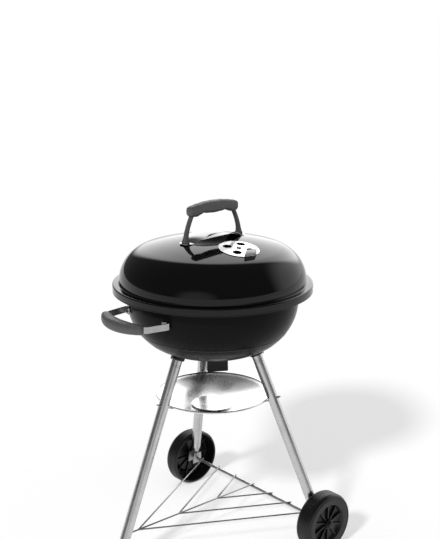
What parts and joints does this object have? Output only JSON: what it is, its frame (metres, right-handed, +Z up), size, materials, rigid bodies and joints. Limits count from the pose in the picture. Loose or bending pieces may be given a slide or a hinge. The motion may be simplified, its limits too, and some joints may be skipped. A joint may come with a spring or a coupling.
{
  "type": "kettle grill",
  "caption": "Free-standing charcoal kettle grill: domed lid on a round bowl, three splayed tube legs, wheels on a shared axle, wire rack and ash pan.",
  "frame": {"origin": "on the ground, under the middle of the outline seen from above", "axes": "+Z up, X along the wheel axle, -Y towards the front leg and the side handle"},
  "size_m": [0.5676, 0.5642, 0.8589],
  "materials": {
    "lid_enamel": "glossy black vitreous enamel",
    "bowl_enamel": "glossy black vitreous enamel, slightly duller",
    "socket_enamel": "black painted steel",
    "plated_tube": "bright plated steel tube",
    "plated_wire": "bright plated steel wire",
    "zinc_steel": "zinc plated sheet steel",
    "charcoal_wire": "plain dark steel rod",
    "polished_aluminium": "polished aluminium sheet",
    "heat_shield_chrome": "bright chrome sheet",
    "grip_plastic": "dark grey glass-filled plastic, satin",
    "wheel_plastic": "black moulded plastic",
    "foot_plastic": "black moulded plastic"
  },
  "bodies": {
    "stand": {"bowl": "bowl_enamel", "grate_tabs": "zinc_steel", "bowl_handle_arms": "polished_aluminium", "bowl_handle_grip": "grip_plastic", "bowl_handle_rivets": "zinc_steel", "leg_sockets": "socket_enamel", "leg_screws": "zinc_steel", "front_leg": "plated_tube", "left_leg": "plated_tube", "right_leg": "plated_tube", "foot_cap": "foot_plastic", "left_axle_bracket": "zinc_steel", "right_axle_bracket": "zinc_steel", "axle": "zinc_steel", "axle_washers": "zinc_steel", "axle_caps": "foot_plastic", "bottom_rack": "plated_wire", "ash_pan": "polished_aluminium", "ash_pan_clips": "plated_wire"},
    "lid": {"lid": "lid_enamel", "lid_damper_rivet": "zinc_steel", "heat_shield": "heat_shield_chrome", "lid_handle_arms": "grip_plastic", "lid_handle_grip": "grip_plastic", "lid_handle_screws": "zinc_steel", "lid_hook": "plated_wire"},
    "lid_damper": {"lid_damper": "polished_aluminium"},
    "ash_sweeper": {"ash_sweeper": "zinc_steel", "sweeper_spindle": "zinc_steel", "sweeper_handle": "foot_plastic"},
    "left_wheel": {"left_wheel": "wheel_plastic"},
    "right_wheel": {"right_wheel": "wheel_plastic"},
    "charcoal_grate": {"charcoal_grate": "charcoal_wire"},
    "cooking_grate": {"cooking_grate": "plated_wire", "grate_loops": "plated_wire"}
  },
  "joints": [
    {"name": "lid_lift", "type": "slide", "parent": "stand", "child": "lid", "axis": [0, 0, 1], "range_m": [0, 0.25]},
    {"name": "lid_damper_turn", "type": "hinge", "parent": "lid", "child": "lid_damper", "pos_m": [0.1041, 0.03098, 0.76075], "axis": [0.1735, -0.0152, 0.9847], "range_deg": [0, 45]},
    {"name": "sweeper_turn", "type": "hinge", "parent": "stand", "child": "ash_sweeper", "pos_m": [0, 0.04009, 0.475], "axis": [0, 0, 1], "range_deg": [0, 60]},
    {"name": "left_wheel_spin", "type": "hinge", "parent": "stand", "child": "left_wheel", "pos_m": [-0.255, 0.17789, 0.075], "axis": [1, 0, 0], "continuous": true},
    {"name": "right_wheel_spin", "type": "hinge", "parent": "stand", "child": "right_wheel", "pos_m": [0.255, 0.17789, 0.075], "axis": [1, 0, 0], "continuous": true},
    {"name": "charcoal_grate_lift", "type": "slide", "parent": "stand", "child": "charcoal_grate", "axis": [0, 0, 1], "range_m": [0, 0.06]},
    {"name": "cooking_grate_lift", "type": "slide", "parent": "stand", "child": "cooking_grate", "axis": [0, 0, 1], "range_m": [0, 0.03]}
  ]
}
